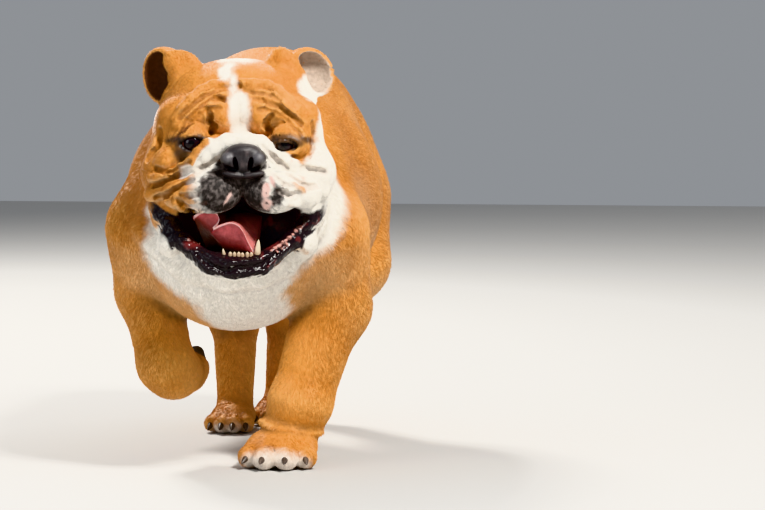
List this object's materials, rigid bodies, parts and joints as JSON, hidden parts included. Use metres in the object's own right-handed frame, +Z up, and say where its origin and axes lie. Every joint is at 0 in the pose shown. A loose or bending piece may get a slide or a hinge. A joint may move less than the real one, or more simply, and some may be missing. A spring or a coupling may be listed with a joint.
{
  "type": "english bulldog",
  "caption": "Life-size model of an English bulldog caught in mid-stride with a forepaw lifted, the mouth open and the tongue showing.",
  "frame": {"origin": "middle of the bounding box's underside, on the floor the paws stand on", "axes": "the dog faces -Y, its own left is +X and +Z is up"},
  "size_m": [0.2734, 0.6088, 0.4264],
  "materials": {
    "coat": "short smooth fawn and white coat",
    "nose_skin": "damp pebbled black skin",
    "eye": "wet dark brown",
    "lip": "moist black lip with ivory teeth",
    "tongue": "moist pink",
    "claw": "dark horn"
  },
  "bodies": {
    "root": {"head": "coat", "nose": "nose_skin", "left_eye": "eye", "right_eye": "eye", "right_ear": "coat", "left_ear": "coat", "lower_jaw": "lip", "tongue": "tongue", "neck": "coat", "trunk": "coat", "tail": "coat", "left_upper_arm": "coat", "left_forearm": "coat", "left_forepaw": "coat", "right_upper_arm": "coat", "right_forearm": "coat", "right_forepaw": "coat", "left_thigh": "coat", "left_hind_lower_leg": "coat", "left_hindpaw": "coat", "right_thigh": "coat", "right_hind_lower_leg": "coat", "right_hindpaw": "coat", "left_forepaw_claw_1": "claw", "left_forepaw_claw_2": "claw", "left_forepaw_claw_3": "claw", "left_forepaw_claw_4": "claw", "right_forepaw_claw_1": "claw", "right_forepaw_claw_2": "claw", "right_forepaw_claw_3": "claw", "right_forepaw_claw_4": "claw", "left_hindpaw_claw_1": "claw", "left_hindpaw_claw_2": "claw", "left_hindpaw_claw_3": "claw", "left_hindpaw_claw_4": "claw", "right_hindpaw_claw_1": "claw", "right_hindpaw_claw_2": "claw", "right_hindpaw_claw_3": "claw", "right_hindpaw_claw_4": "claw"}
  },
  "joints": []
}
